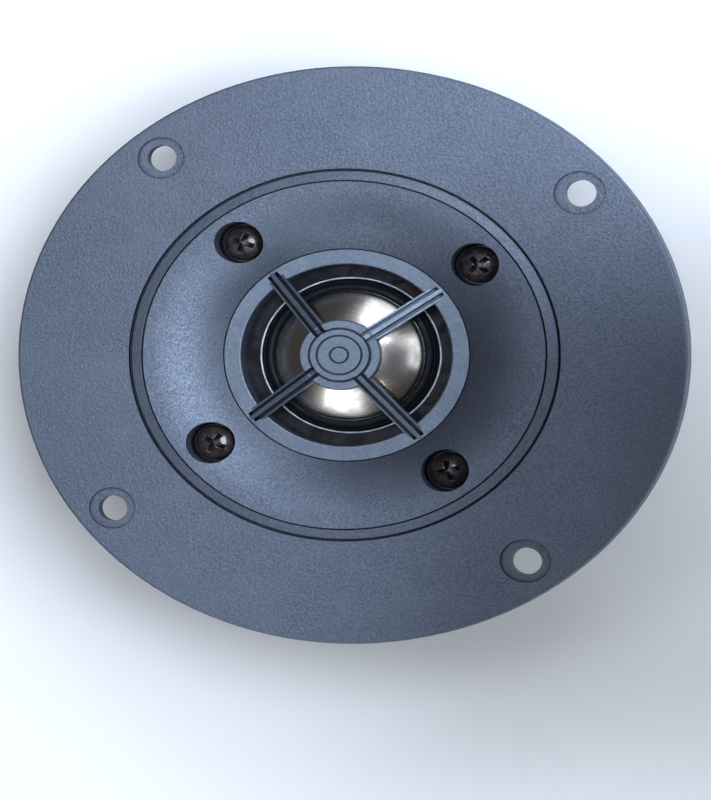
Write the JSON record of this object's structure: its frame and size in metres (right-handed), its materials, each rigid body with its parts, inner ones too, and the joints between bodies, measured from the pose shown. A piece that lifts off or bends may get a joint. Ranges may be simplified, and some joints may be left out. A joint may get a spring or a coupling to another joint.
{
  "type": "dome tweeter",
  "caption": "Round flange-mounted dome tweeter with a cross-shaped phase guard in a shallow horn and a ferrite ring motor behind.",
  "frame": {"origin": "centre of the flange's rear face, on the tweeter's axis", "axes": "+Z out of the front along the axis; the four mounting holes lie on the XY diagonals; terminals are on the -Y side"},
  "size_m": [0.11, 0.11, 0.0335],
  "materials": {
    "flange_plastic": "fine moulded grain, satin black",
    "guard_plastic": "smooth moulded black, satin",
    "frame_plastic": "plain moulded black",
    "black_screw_steel": "black oxide on steel, oily gloss",
    "dome_titanium": "formed thin foil, satin mirror",
    "surround_silk": "fine cloth doped with damping compound, gloss",
    "clear_adhesive": "cured adhesive, gloss",
    "former_film": "amber polyimide film",
    "coil_copper": "enamelled copper wire",
    "wool_felt": "pressed dark felt",
    "motor_steel": "zinc-plated steel",
    "ferrite": "sintered ferrite, ground faces",
    "phenolic_board": "paper phenolic board",
    "tinned_brass": "tin-plated brass",
    "rivet_steel": "nickel-plated steel",
    "red_paint": "enamel paint",
    "braided_copper": "braided tinsel wire",
    "solder": "solder"
  },
  "bodies": {
    "chassis": {"faceplate": "flange_plastic", "phase_guard": "guard_plastic", "assembly_screws": "black_screw_steel", "diaphragm_frame": "frame_plastic", "locating_pins": "rivet_steel", "surround_bead": "clear_adhesive", "coil_leads": "coil_copper", "lead_eyelets": "tinned_brass", "damping_felt": "wool_felt", "top_plate": "motor_steel", "ferrite_magnet": "ferrite", "back_plate": "motor_steel", "pole_piece": "motor_steel", "terminal_board": "phenolic_board", "board_rivets": "rivet_steel", "positive_terminal": "tinned_brass", "negative_terminal": "tinned_brass", "terminal_studs": "rivet_steel", "polarity_dot": "red_paint", "positive_lead": "braided_copper", "negative_lead": "braided_copper", "solder_joints": "solder"},
    "diaphragm": {"dome": "dome_titanium", "coil_former": "former_film", "coil_winding": "coil_copper", "surround": "surround_silk"}
  },
  "joints": [
    {"name": "dome_travel", "type": "slide", "parent": "chassis", "child": "diaphragm", "axis": [0, 0, 1], "range_m": [-0.0004, 0.0004], "stiffness_N_per_m": 1000, "deforming": ["surround"]}
  ]
}
